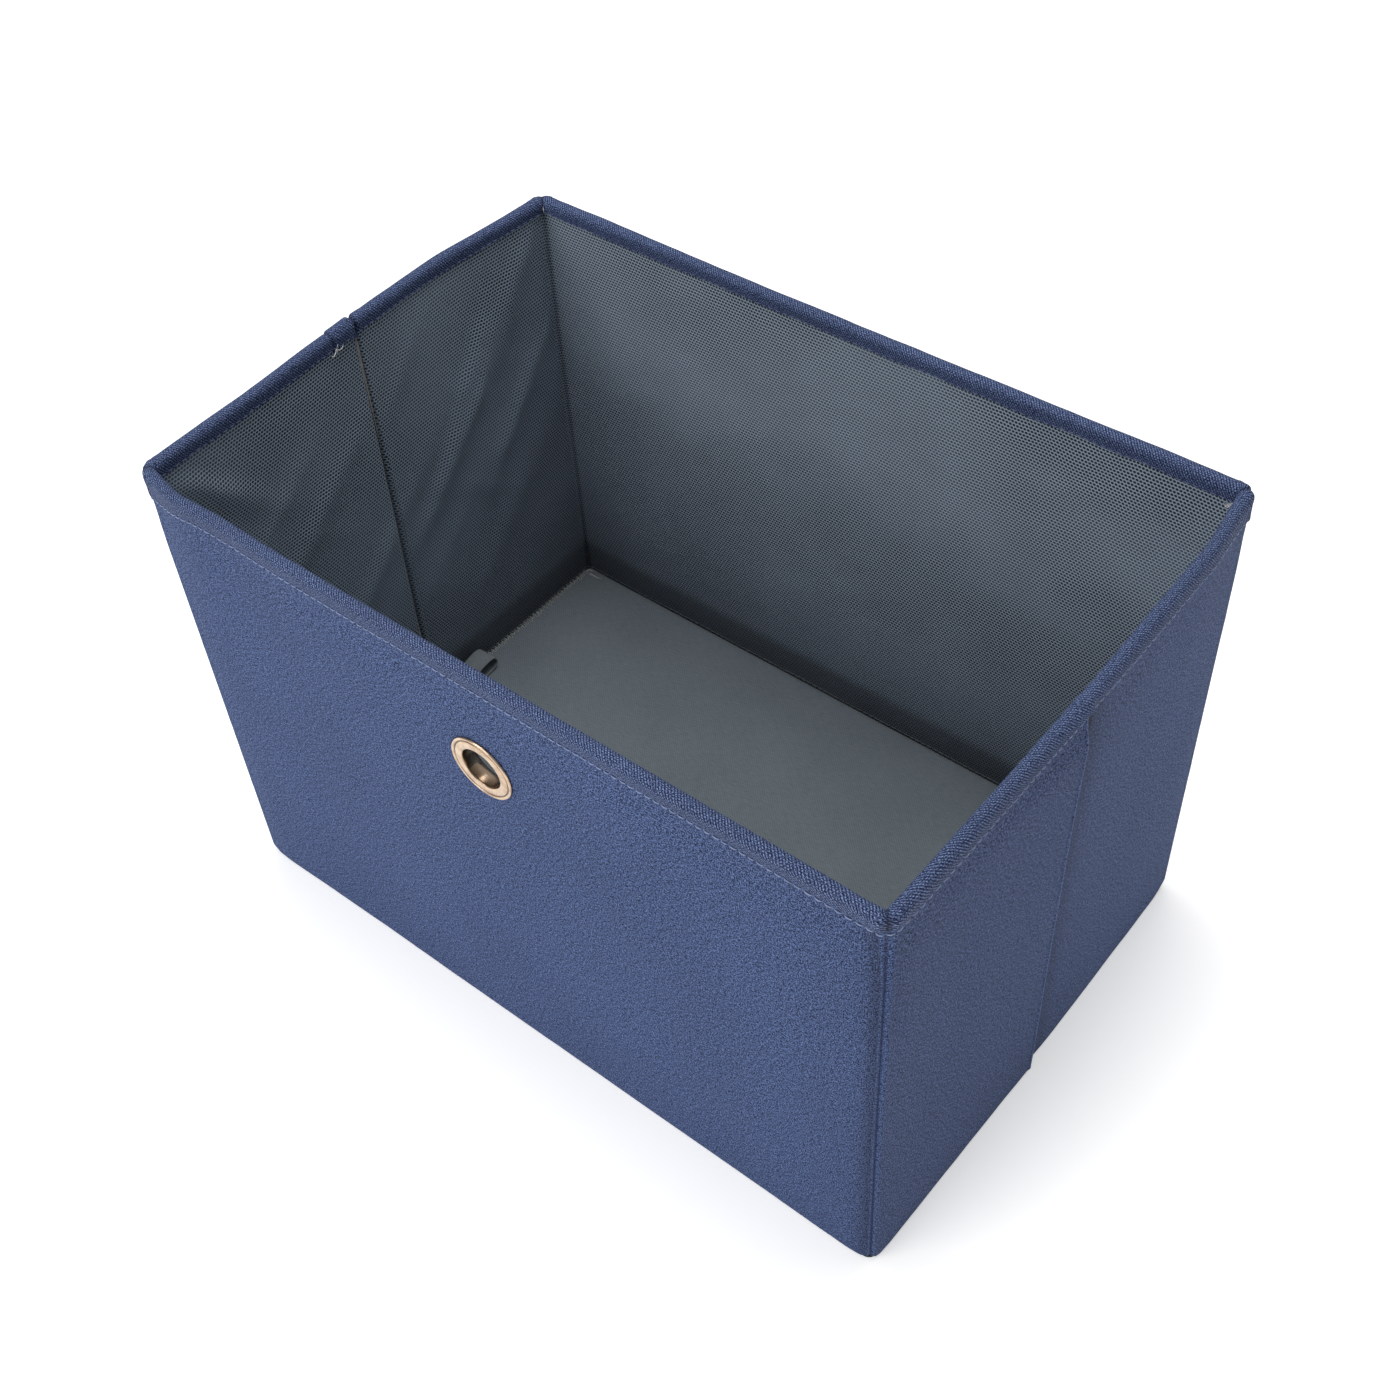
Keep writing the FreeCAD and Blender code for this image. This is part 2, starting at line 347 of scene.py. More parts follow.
def arch(ends, shoulder, crown, at=0.25):
    """How far a stitch stands out along its length, as (share of length, lift in mm)."""
    return (0.0, ends), (at, shoulder), (0.5, crown), (1 - at, shoulder), (1.0, ends)


rng = random.Random(11)


def stitch_row(start, end, length, loose, lifts, place, radius, sides=5, flat=0.8, gap=0.8, loose_gap=0.0):
    """Stitches laid end to end; place(first, at, lift) gives the point at `at` of a stitch begun at first."""
    parts = []
    first = start
    while first < end:
        long = length + (rng.uniform(-loose, loose) if loose else 0.0)
        parts.append(tube([place(first, first + f * long, lift) for f, lift in lifts], radius, sides, flat))
        first += long + gap + (rng.uniform(-loose_gap, loose_gap) if loose_gap else 0.0)
    return parts


# ---- materials


class Net:
    """A few shorthands over one node tree."""

    def __init__(self, name):
        self.mat = bpy.data.materials.new(name)
        self.mat.use_nodes = True
        self.tree = self.mat.node_tree
        self.tree.nodes.clear()
        self.bsdf = self.node("BsdfPrincipled")
        self.node("OutputMaterial", Surface=self.bsdf.outputs[0])

    def put(self, socket, value):
        if hasattr(value, "node"):
            self.tree.links.new(value, socket)
        else:
            socket.default_value = value

    def fill(self, node, inputs):
        """Set or link a node's inputs by name, with _ for a space."""
        for key, value in inputs.items():
            self.put(node.inputs[key.replace("_", " ")], value)

    def node(self, kind, **inputs):
        n = self.tree.nodes.new("ShaderNode" + kind)
        self.fill(n, inputs)
        return n

    def set(self, **inputs):
        """Finish the material with the shader's own inputs."""
        self.fill(self.bsdf, inputs)
        return self.mat

    def math(self, op, *values):
        n = self.node("Math")
        n.operation = op
        for socket, value in zip(n.inputs, values):
            self.put(socket, value)
        return n.outputs[0]

    def add(self, a, b):
        return self.math("ADD", a, b)

    def mul(self, a, b):
        return self.math("MULTIPLY", a, b)

    def wave(self, value, pitch):
        return self.math("SINE", self.mul(value, 2 * math.pi / pitch))

    def hypot(self, a, b):
        return self.math("SQRT", self.add(self.mul(a, a), self.mul(b, b)))

    # the per-point painted highlight and painted shade numbers
    def painted_light(self):
        n = self.node("Attribute")
        n.attribute_name = "painted_light"
        return n.outputs["Fac"]

    def place(self):
        return self.node("TexCoord").outputs["Object"]

    def uv(self):
        n = self.node("UVMap")
        n.uv_map = "weave"
        return n.outputs[0]

    def split(self, vector):
        n = self.node("SeparateXYZ", Vector=vector)
        return n.outputs[0], n.outputs[1], n.outputs[2]

    def scaled(self, vector, sx, sy, sz=1.0):
        return self.node("Mapping", Vector=vector, Scale=(sx, sy, sz)).outputs[0]

    def noise(self, vector, sx, sy, sz=1.0, detail=2.0, rough=0.5):
        """Noise of the vector times (sx, sy, sz)."""
        vector = self.scaled(vector, sx, sy, sz)
        return self.node("TexNoise", Vector=vector, Scale=1.0, Detail=detail, Roughness=rough).outputs["Fac"]

    def grain(self, size, detail=2.0, rough=0.5):
        """Noise in the piece's own space, the same in all directions."""
        return self.noise(self.place(), size, size, size, detail, rough)

    def range(self, value, a, b, c=0.0, d=1.0, soft=True):
        n = self.node("MapRange", Value=value, From_Min=a, From_Max=b, To_Min=c, To_Max=d)
        n.interpolation_type = "SMOOTHSTEP" if soft else "LINEAR"
        return n.outputs["Result"]

    def mix(self, fac, a, b):
        n = self.node("Mix")
        n.data_type = "RGBA"
        self.put(n.inputs["Factor"], fac)
        for key, value in (("A", a), ("B", b)):
            socket = [s for s in n.inputs if s.name == key and s.type == "RGBA"][0]
            self.put(socket, value if hasattr(value, "node") else (*value, 1.0))
        return [s for s in n.outputs if s.type == "RGBA"][0]

    def brightened(self, colour, value):
        return self.node("HueSaturation", Color=colour, Value=value).outputs[0]

    def bump(self, height, distance, strength):
        return self.node("Bump", Height=height, Distance=distance, Strength=strength).outputs[0]


def woven(net, uv, pitch):
    """Plain over-and-under weave height, 0 to 1, from two crossed yarn waves."""
    x, y, _ = net.split(net.scaled(uv, 1 / pitch, 1 / pitch))
    return net.math("MULTIPLY_ADD", net.mul(net.wave(x, 1), net.wave(y, 1)), 0.5, 0.5)


def twill_ribs(net, uv, grain):
    """Slanted ribs, broken up along the strip: 1 on a rib, 0 between."""
    x, y, _ = net.split(uv)
    wobble = net.mul(net.noise(uv, 90, 90), 0.0016)
    slant = net.add(net.mul(y, 0.6), net.add(x, wobble))
    rib = net.range(net.wave(slant, 0.0014), -0.5, 0.7)
    rib = net.mul(rib, net.range(net.wave(y, 0.0012), -0.8, 0.1, 0.25, 1.0))
    return net.mul(rib, net.range(grain, 0.35, 0.6, 0.35, 1.0))


def cloth_blue(name, dark, mid, light, twill=0.0):
    """Heathered blue woven polyester; twill adds the bold slanted ribs of the rim strip, their light and dark
    contrast partly painted highlight.
    """
    net = Net(name)
    uv = net.uv()
    # thin yarn streaks both ways, fine specks, and a few thick slubs
    weft = net.noise(uv, 520, 2400, detail=1)
    warp = net.noise(uv, 2400, 560, detail=1)
    grain = net.noise(uv, 1900, 1900, detail=0)
    slub = net.range(net.noise(uv, 120, 900, detail=1, rough=0.4), 0.66, 0.76)
    dark_slub = net.range(net.noise(uv, 210, 900, detail=1, rough=0.4), 0.32, 0.25)
    cloud = net.noise(uv, 14, 10, detail=3, rough=0.55)
    heather = net.add(net.mul(weft, 0.33), net.mul(warp, 0.25))
    heather = net.add(heather, net.mul(grain, 0.42))
    base = net.mix(net.range(heather, 0.43, 0.50), dark, mid)
    base = net.mix(net.range(heather, 0.50, 0.57), base, light)
    base = net.mix(net.mul(slub, 0.45), base, light)
    base = net.mix(net.mul(dark_slub, 0.85), base, dark)
    height = net.add(net.mul(woven(net, uv, 0.00086), 0.5), net.mul(heather, 0.7))
    if twill:
        rib = twill_ribs(net, uv, grain)
        base = net.mix(net.mul(rib, twill), base, light)
        base = net.mix(net.mul(net.math("SUBTRACT", 1.0, rib), twill), base, dark)
        height = net.add(height, net.mul(rib, 1.2))
    # painted highlight above 0 and painted shade below 0, mixed into the cloth's colour as pale and deep
    painted_light_fac = net.painted_light()
    pale = tuple(min(c * 1.5 + 0.02, 1.0) for c in light)
    deep = tuple(c * 0.35 for c in dark)
    base = net.mix(net.range(painted_light_fac, 0.0, 1.0, 0.0, 0.85, False), base, pale)
    base = net.mix(net.range(painted_light_fac, 0.0, -1.0, 0.0, 0.9, False), base, deep)
    base = net.brightened(base, net.range(cloud, 0.3, 0.7, 0.94, 1.06, False))
    rough = net.range(heather, 0.3, 0.7, 0.92, 0.72, False)
    return net.set(Base_Color=base, Roughness=rough, Specular_IOR_Level=0.22,
                   Sheen_Weight=0.03, Sheen_Roughness=0.4, Sheen_Tint=(0.55, 0.65, 1.0, 1.0),
                   Normal=net.bump(height, 0.000035, 0.7))


PIT_ALONG = 0.0018  # metres from pit to pit in a row
PIT_ROWS = 0.00165  # metres from row to row


def dimples(net, uv, wide=0.41, tall=0.38):
    """Staggered rows of small pressed pits: 1 in a pit, 0 on the ribs between."""
    x, y, _ = net.split(uv)
    y = net.add(y, net.mul(net.noise(uv, 25, 25), 0.003))
    row = net.math("DIVIDE", y, PIT_ROWS)
    odd = net.math("ABSOLUTE", net.math("MODULO", net.math("FLOOR", row), 2.0))
    col = net.add(net.math("DIVIDE", x, PIT_ALONG), net.mul(odd, 0.5))
    fx = net.math("DIVIDE", net.math("SUBTRACT", net.math("FRACT", col), 0.5), wide)
    fy = net.math("DIVIDE", net.math("SUBTRACT", net.math("FRACT", row), 0.5), tall)
    return net.range(net.hypot(fx, fy), 1.2, 0.75)


def cloth_lining(name, rib, pit):
    """Grey nonwoven with a pressed dimple pattern and fine fibres; the pit colour is painted shade in the
    pits.
    """
    net = Net(name)
    uv = net.uv()
    pits = dimples(net, uv)
    fibres = net.noise(uv, 700, 2200, detail=3, rough=0.7)
    cloud = net.noise(uv, 22, 16, detail=3, rough=0.6)
    pressed = net.range(net.noise(uv, 9, 13), 0.35, 0.65, 0.8, 1.0)
    base = net.mix(net.mul(pits, pressed), rib, pit)
    # painted shade from the per-point numbers, in the pit colour
    base = net.mix(net.range(net.painted_light(), 0.0, -1.0, 0.0, 0.9, False), base, pit)
    value = net.range(cloud, 0.3, 0.7, 0.93, 1.07, False)
    value = net.add(value, net.range(fibres, 0.3, 0.7, -0.06, 0.06, False))
    height = net.add(net.mul(pits, -1.0), net.mul(fibres, 0.3))
    rough = net.range(fibres, 0.3, 0.7, 0.7, 0.85, False)
    return net.set(Base_Color=net.brightened(base, value), Roughness=rough, Specular_IOR_Level=0.3,
                   Sheen_Weight=0.15, Sheen_Roughness=0.5,
                   Normal=net.bump(height, 0.0003, 0.8))


def cloth_board(name, dark, light, rib_pitch=0.0016):
    """Smooth grey nonwoven with a faint linen emboss."""
    net = Net(name)
    uv = net.uv()
    linen = woven(net, uv, rib_pitch)
    streaks = net.noise(uv, 240, 1500)
    fibres = net.noise(uv, 1800, 1200, detail=3, rough=0.7)
    cloud = net.noise(uv, 16, 20, detail=4, rough=0.6)
    mark = net.range(net.noise(uv, 30, 30, rough=0.6), 0.55, 0.75)
    fac = net.add(net.add(net.mul(linen, 0.25), net.mul(streaks, 0.45)), net.mul(cloud, 0.3))
    base = net.mix(net.range(fac, 0.3, 0.7), dark, light)
    base = net.mix(net.mul(mark, 0.12), base, light)
    height = net.add(net.mul(linen, 0.6), net.mul(fibres, 0.5))
    return net.set(Base_Color=base, Roughness=net.range(fibres, 0.3, 0.7, 0.78, 0.9, False),
                   Specular_IOR_Level=0.25, Sheen_Weight=0.2, Sheen_Roughness=0.5,
                   Normal=net.bump(height, 0.0001, 0.6))


def thread_mat(name, dark, light):
    """Twisted sewing thread: slanted ply lines along the stitch."""
    net = Net(name)
    uv = net.uv()
    x, y, _ = net.split(uv)
    ply = net.range(net.wave(net.add(net.mul(x, 3.0), y), 0.0008), -1, 1)
    speck = net.noise(uv, 900, 900)
    base = net.mix(net.mul(net.add(ply, speck), 0.5), dark, light)
    return net.set(Base_Color=base, Roughness=net.range(speck, 0.3, 0.7, 0.5, 0.7, False),
                   Sheen_Weight=0.2, Normal=net.bump(ply, 0.00008, 0.6))


def brass_mat():
    """Pale polished brass with fine turning lines, faint tarnish and small scuffs."""
    net = Net("pale_brass")
    tarnish = net.grain(160, 4, 0.6)
    fine = net.grain(1400, 2, 0.6)
    x, _, z = net.split(net.place())
    radius = net.hypot(x, net.math("SUBTRACT", z, EYELET_Z * MM))
    base = net.mix(net.range(tarnish, 0.35, 0.7), (0.66, 0.50, 0.36), (0.42, 0.30, 0.21))
    # painted shade: the barrel is coloured dark next to the polished flange, and so is the groove round the
    # flange
    base = net.mix(net.range(radius, 0.0100, 0.0105, 1.0, 0.0), base, (0.20, 0.14, 0.09))
    groove = net.mul(net.range(radius, 0.0138, 0.0142), net.range(radius, 0.0148, 0.0144))
    base = net.mix(groove, base, (0.12, 0.08, 0.05))
    rough = net.add(net.range(tarnish, 0.3, 0.7, 0.14, 0.28, False), net.mul(fine, 0.06))
    turned = net.bump(net.wave(radius, 0.00022), 0.000008, 0.4)
    return net.set(Base_Color=base, Metallic=1.0, Roughness=rough, Normal=turned)


def board_mat():
    """Plain grey board: mottled pulp with fibres and specks."""
    net = Net("greyboard_pulp")
    pulp = net.grain(220, 5, 0.65)
    speck = net.range(net.grain(900, 1), 0.68, 0.75)
    base = net.mix(net.range(pulp, 0.3, 0.7), (0.30, 0.28, 0.25), (0.42, 0.40, 0.37))
    base = net.mix(net.mul(speck, 0.6), base, (0.12, 0.11, 0.1))
    return net.set(Base_Color=base, Roughness=net.range(pulp, 0.3, 0.7, 0.85, 0.97, False),
                   Normal=net.bump(pulp, 0.0002, 0.5))


DENIM_DARK = (0.002, 0.006, 0.030)
DENIM_MID = (0.028, 0.052, 0.142)
DENIM_LIGHT = (0.102, 0.153, 0.320)
# painted highlight: the rim strip is the cover's cloth, given a much lighter light colour for its top facing
# the light
BAND_PAINTED_HIGHLIGHT = (0.210, 0.280, 0.500)
M_COVER = cloth_blue("denim_cover", DENIM_DARK, DENIM_MID, DENIM_LIGHT)
M_BAND = cloth_blue("denim_rim_strip", DENIM_DARK, DENIM_MID, BAND_PAINTED_HIGHLIGHT, twill=0.72)
# the near-black pit colours are painted shade in the pressed pits
M_LINING = cloth_lining("dimpled_lining", (0.300, 0.375, 0.470), (0.005, 0.008, 0.013))
M_BASE = cloth_lining("dimpled_base", (0.190, 0.225, 0.275), (0.010, 0.016, 0.024))
M_BOARD = cloth_board("board_nonwoven", (0.112, 0.136, 0.154), (0.172, 0.200, 0.222))
M_RIBBON = cloth_board("ribbon_tape", (0.12, 0.14, 0.155), (0.2, 0.222, 0.235), 0.0009)
M_BLUE_THREAD = thread_mat("thread_light_blue", (0.20, 0.26, 0.46), (0.42, 0.50, 0.76))
M_NAVY_THREAD = thread_mat("thread_navy", (0.06, 0.08, 0.17), (0.14, 0.18, 0.32))
M_GREY_THREAD = thread_mat("thread_pale_grey", (0.3, 0.31, 0.31), (0.55, 0.56, 0.55))
M_DARK_THREAD = thread_mat("thread_slate", (0.05, 0.065, 0.08), (0.12, 0.14, 0.165))
M_WHITE_THREAD = thread_mat("thread_white", (0.62, 0.62, 0.62), (0.9, 0.9, 0.9))
M_BRASS = brass_mat()
M_GREYBOARD = board_mat()

# ---- outer surface of the cover

FOOT_R = {1: 9.0, 3: 7.5, 5: 14.0, 7: 10.0}  # how far each corner's foot is rounded off
COVER_R = 2.8  # plan radius of the cover's corners below, growing to COVER_R + 1.6 under the rim
TAIL = 225.0  # height above which the cover's rows follow the rim strip's edge
TAIL_END = 245.0
EYELET_CUT = 12.4  # radius of the hole in the cover and the lining
PANEL_CUT = 15.5


def band_low(seg, t, y):
    """Height of the rim strip's lower outer edge round the bin."""
    x = plan(seg, t, 0.0, R0)[0]
    if seg == 0:
        drop = lerp_table(y, ((-127, -4.0), (-95, 1.0), (127, 1.0)))
    elif seg == 2:
        drop = lerp_table(x, ((-190, -4.0), (-150, 1.0), (150, 1.0), (190, 0.5)))
    elif seg == 4:
        drop = lerp_table(y, ((-127, 0.5), (-60, 1.8), (0, 2.6), (60, 1.2), (100, 0.0), (127, -4.0)))
    elif seg == 6:
        drop = lerp_table(x, ((-190, 1.0), (150, 1.0), (190, -4.0)))
    else:
        drop = {1: -4.0, 3: 0.5, 5: -4.0, 7: 1.0}[seg]
    return BAND_LOW + drop + 0.2 * n3(x * 0.03, y * 0.03, 7.7)


def foot_z(seg, t):
    d, c = corner_gap(seg, t)
    r = FOOT_R[c]
    d = max(d - 1.0, 0.0)
    if d >= r:
        return 0.0
    rise = r - math.sqrt(max(r * r - (r - d) ** 2, 0.0))
    return 5.5 * math.tanh(rise / 5.5)


def cover_offset(seg, t, x, y, z):
    """How far the cover's cloth stands off the plan's face, in mm."""
    d, c = corner_gap(seg, t)
    low = smooth(z, 0, 25)
    high = 1 - smooth(z, TOP - 40, TOP - 12)
    notch = 1.5 if c == 3 else 1.7
    off = -notch * bump(d, 1.6) * (0.35 + 0.65 * (1 - smooth(z, TOP - 14, TOP - 7)))
    if c == 3:
        off -= 1.1 * bump(d, 5.5) * (1 - smooth(z, TOP - 30, TOP - 8)) * (1.0 if seg < 3 else 0.3)
    flat = smooth(d, 4, 16)
    broad = 0.55 + 0.75 * n3(x / 85 + 3.1, y / 85, z / 130) + 0.30 * n3(x / 37, y / 37 + 5.2, z / 60)
    fine = 0.10 * n3(x / 11, y / 11, z / 13 + 2.2)
    off += max(broad, 0.05) * flat * (0.45 + 0.55 * low * high) + (fine + 0.1) * flat
    # small slanted pulls beside the upright corners
    pull = n3(d / 6 + z / 9, z / 11, c * 4.1)
    off += 0.28 * max(pull, 0.0) * bump(d - 7, 6)
    if seg == 4:
        yc = crease_y(z)
        near = yc - y
        if near > 0:
            edge = smooth(near, 0.0, 0.9) * (1 - 0.8 * smooth(z, TOP - 26, TOP - 9))
            off += (0.35 + 2.2 * clamp(1 - near / 120) ** 1.3) * edge
            off += 0.5 * bump(near - 1.5, 1.2) * edge
        else:
            off += 0.5 * (1 - bump(near, 9)) - 0.05
    return off


def shear(seg, y, z):
    """Slide columns of the right side along it so that one follows the leaning crease."""
    if seg != 4:
        return 0.0
    return (crease_y(z) - RIGHT_CREASE) * bump(y - RIGHT_CREASE, 45)


def cover_point(seg, t, z, out=0.0):
    """Point on the cover's outer face, plus out, in mm."""
    r = COVER_R + 1.6 * smooth(z, TOP - 45, TOP - 12)
    x, y, nx, ny = plan(seg, t, 0.0, r)
    y += shear(seg, y, z)
    n = cover_offset(seg, t, x, y, z) + out
    dx, dy = bow(x, y, z)
    return x + nx * n + dx, y + ny * n + dy, z


zs = [2.6, 5.0, 8.0, 11.5, 15.5, 20.0]
while zs[-1] < TAIL:
    zs.append(zs[-1] + 4.3)
zs += [228.5, 231.0, 233.0, 234.5, 236.0, 237.5, 239.0, 240.5, 242.0, 243.5, TAIL_END]
# the cloth's turn under the foot, as (out from the wall, up from the foot)
ROLL = [(-3.4, 0.15), (-1.6, 0.0), (-0.5, 0.25), (0.0, 1.1)]


def cover_painted_light(col, p):
    """Painted highlight along the right crease's raised edge, partly edge rubbing; painted shade in the
    grooves, towards the front's right end and down the right side.
    """
    seg, t = col
    d, c = corner_gap(seg, t)
    # painted shade in each corner's groove
    w = -(0.42 if c == 3 else 0.7) * bump(d, 1.0)
    if seg == 2:
        # painted shade towards the front's right end and beside the front-right corner's groove
        w -= 0.13 * smooth(p[0], 130, 186)
        if c == 3:
            w -= 0.42 * bump(d - 3.5, 4.5)
    if seg == 4:
        # painted shade down the right side, most towards the front, and a painted highlight on its edge by
        # the front-right corner
        w -= 0.06 + 0.13 * (1 - smooth(p[1], -20, 90))
        if c == 3:
            w += 0.12 * bump(d - 3.6, 0.8)
        near = crease_y(p[2]) - p[1]
        # painted highlight on the crease's raised edge, partly edge rubbing, and painted shade in the crease
        # and beyond it
        w += 0.6 * bump(near - 1.4, 0.45) - 0.75 * bump(near + 1.8, 1.9) - 0.25 * bump(near + 7, 6)
    return w


def cover_grid(col, row):
    seg, t = col
    foot = foot_z(seg, t)
    if row[0] == "roll":
        n, dz = ROLL[row[1]]
        return cover_point(seg, t, foot + dz, n)
    z = row[1]
    if z > TAIL:
        y = plan(seg, t, 0.0, R0)[1]
        z = TAIL + (z - TAIL) * (band_low(seg, t, y) + 1.2 - TAIL) / (TAIL_END - TAIL)
    lift = foot * (1 - smooth(z, 2.0, 30.0))
    return cover_point(seg, t, z + lift)


rows = [("roll", k) for k in range(len(ROLL))] + [("z", z) for z in zs]
# the eyelet's middle on the leaning front wall, and the wall's slope there
EYELET = (EYELET_X, -HY + bow(EYELET_X, -HY, EYELET_Z)[1], EYELET_Z)
TILT = (bow(EYELET_X, -HY, EYELET_Z + 10)[1] - bow(EYELET_X, -HY, EYELET_Z - 10)[1]) / 20


def near_eyelet(centre):
    return centre[1] < -HY / 2 and math.hypot(centre[0], centre[2] - EYELET_Z) < EYELET_CUT


def cover_uv(s, row):
    return (s, row[1] if row[0] == "z" else row[1] * 0.8 - 2.0)


cover = ring_loft("cover_cloth", make_columns(4.2), rows, cover_grid, cover_uv, M_COVER, cover_painted_light,
                  near_eyelet)
belongs(cover, "outer_cover", "shell")

# ---- rim strip


def band_extra(seg, t, x, y, z):
    """Thickening, pinches and gathers of the rim strip, in mm."""
    d, c = corner_gap(seg, t)
    e = 0.22 * n3(x / 9, y / 9, z / 9) + 0.35 * n3(x / 34, y / 34 + 9, z / 20)
    e += 0.35 * bump(d - 4.5, 3.0) - (1.3 if c == 7 else 0.7) * bump(d, 1.1)
    e += 0.25 * math.sin(d * 1.9 + c) * bump(d, 9)
    if seg == 0:
        lap = smooth(y, LAP - 0.4, LAP + 0.3) * (1 - smooth(y, -2.0, -0.4))
        e += 0.85 * lap
        e -= 1.5 * bump(y, 1.0)
        e += 0.5 * bump(y - 3.5, 2.6)
        e -= 0.7 * bump(y + 15.1, 0.6)
    if seg == 4:
        e += 0.3 * bump(y + 10, 6) - 0.4 * bump(y + 4.5, 2.0)
    return e


def hem_low(seg, t, x, y):
    z = LINING_TOP + 0.2 + 0.8 * n3(x / 22, y / 22, 3.3) + 0.35 * n3(x / 6, y / 6, 1.3)
    if seg == 0:
        z -= 2.4 * bump(y + 1.5, 2.4)
    return z


# the strip's section from its outer edge over the top to its inner hem: what the height is counted from,
# how far out of the plan, and the height (for "mid" a share of the way up)
BAND_PROFILE = [
    ("low", -0.10, 0.7), ("low", 0.55, 0.0), ("low", 0.95, 0.25), ("low", 1.1, 0.9), ("low", 1.15, 1.7),
    ("mid", 1.1, 0.30), ("mid", 1.05, 0.62),
    ("top", 1.05, -2.3), ("top", 0.6, -0.8), ("top", -0.25, 0.25), ("top", -1.35, 0.62), ("top", -2.6, 0.62),
    ("top", -3.8, 0.25), ("top", -4.75, -0.75), ("top", -5.15, -2.2), ("top", -5.1, -4.2),
    ("hem", -4.95, 2.4), ("hem", -4.95, 1.0), ("hem", -4.7, 0.15), ("hem", -4.25, 0.5),
]
HEM_N = -4.95


def band_painted_shade(col, p):
    """Shade in the rim strip's pinches."""
    seg, t = col
    w = -0.8 * bump(corner_gap(seg, t)[0], 0.9)
    if seg == 0:
        w -= 0.8 * bump(p[1], 0.8) + 0.6 * bump(p[1] + 14.9, 0.6)
    return w


def band_grid(col, row):
    seg, t = col
    kind, n, dz = BAND_PROFILE[row]
    x, y, nx, ny = plan(seg, t, 0.0, RIM_R)
    low = band_low(seg, t, y)
    sag = 0.35 * n3(x / 60, y / 60, 5.5)
    if kind == "low":
        z = low + dz
    elif kind == "mid":
        z = low + 1.9 + (TOP - 2.6 - low - 1.9) * dz
    elif kind == "top":
        z = TOP + dz + sag
    else:
        z = hem_low(seg, t, x, y) + dz
    e = band_extra(seg, t, x, y, z)
    if n < -4.9:
        e = -e * 0.8
    elif n < 0:
        z += e * 0.8 if kind == "top" else 0.0
        e = 0.0
    if kind == "low" and n < 0.3:
        e = 0.0
    n += e
    if seg % 2:
        n = max(n, -6.0)
    base = cover_offset(seg, t, x, y, min(z, TOP - 12)) if kind in ("low", "mid") else 0.35
    base = max(base, 0.0) * (1.0 if kind == "low" else 0.6)
    if n > -0.2:
        n += base
    dx, dy = bow(x, y, z)
    return x + nx * n + dx, y + ny * n + dy, z


def band_uv(s, row):
    return (s, 242.0 + 1.75 * row)


band_rows = range(len(BAND_PROFILE))
band = ring_loft("rim_strip", make_columns(2.6), band_rows, band_grid, band_uv, M_BAND, band_painted_shade)
sub = band.modifiers.new("soft", "SUBSURF")
sub.levels = 1
sub.render_levels = 1
belongs(band, "rim_binding", "shell")

# ---- stitches


def rim_spot(seg, t, n, z):
    """Point at n out of the rim strip's plan, on the leaning wall."""
    x, y, nx, ny = plan(seg, t, 0.0, RIM_R)
    dx, dy = bow(x, y, z)
    return x + nx * n + dx, y + ny * n + dy, z


def top_stitch(first, at, lift):
    seg, t = locate(at)
    y = plan(seg, t, 0.0, 6.0)[1]
    return cover_point(seg, t, band_low(seg, t, y) - 2.0 + 0.12 * n3(first, 0.3, 0.1), lift)


def hem_stitch(first, at, lift):
    """The same row where it comes out inside, at the foot of the folded-in cloth."""
    seg, t = locate(at)
    x, y = plan(seg, t, 0.0, RIM_R)[:2]
    z = hem_low(seg, t, x, y) + 1.3
    return rim_spot(seg, t, max(HEM_N - 0.8 * band_extra(seg, t, x, y, z) + lift, -6.2), z)


LEFT_MIDDLE = (HY - R0) / SEG_LEN[0]


def closing_stitch(first, at, lift):
    """Closing row up the left side, outside."""
    return cover_point(0, LEFT_MIDDLE, at, lift)


threads("rim_stitches", stitch_row(1.0, AROUND - 1.0, 3.2, 0.25, arch(-0.15, 0.30, 0.42, 0.22), top_stitch,
                                   0.30, 6, gap=0.55, loose_gap=0.1),
        M_BLUE_THREAD, "rim_topstitching", "shell")
threads("hem_stitches", stitch_row(2.6, AROUND - 1.0, 3.1, 0.25, arch(0.2, -0.18, -0.28), hem_stitch, 0.24),
        M_NAVY_THREAD, None, "shell")
threads("closing_stitches", stitch_row(4.0, BAND_LOW - 6, 3.1, 0.2, arch(-0.1, 0.3, 0.42), closing_stitch,
                                       0.3, 6),
        M_BLUE_THREAD, "cover_closing_stitching", "shell")

# ---- lining


# soft pulls of the left lining: middle (y, z), slant in degrees, length, width, depth in mm
PULLS = [(-96, 226, -42, 26, 4.2, 2.0), (-90, 214, -40, 30, 5.0, 1.3), (75, 196, 58, 46, 5.0, 2.8),
         (60, 188, 58, 44, 3.6, 2.2), (92, 210, 64, 34, 3.6, 2.2), (40, 150, 46, 55, 5.5, 2.4),
         (-20, 120, 44, 60, 6.0, 2.0), (86, 150, 52, 45, 5.0, 2.6), (-50, 170, 40, 45, 5.5, 1.8),
         (20, 215, 50, 26, 4.0, 1.1), (70, 90, 48, 50, 8.0, 1.5), (108, 232, 66, 18, 3.0, 1.4),
         (-70, 190, 38, 34, 4.0, 1.2), (30, 105, 44, 46, 6.0, 1.2)]


def pulls(y, z):
    total = 0.0
    for my, mz, slant, length, width, depth in PULLS:
        a = math.radians(slant)
        p = (y - my) * math.cos(a) + (z - mz) * math.sin(a)
        q = -(y - my) * math.sin(a) + (z - mz) * math.cos(a)
        q += 1.5 * n3(p / 18, my, mz)
        total += depth * bump(p, length) * bump(q, width)
    return total


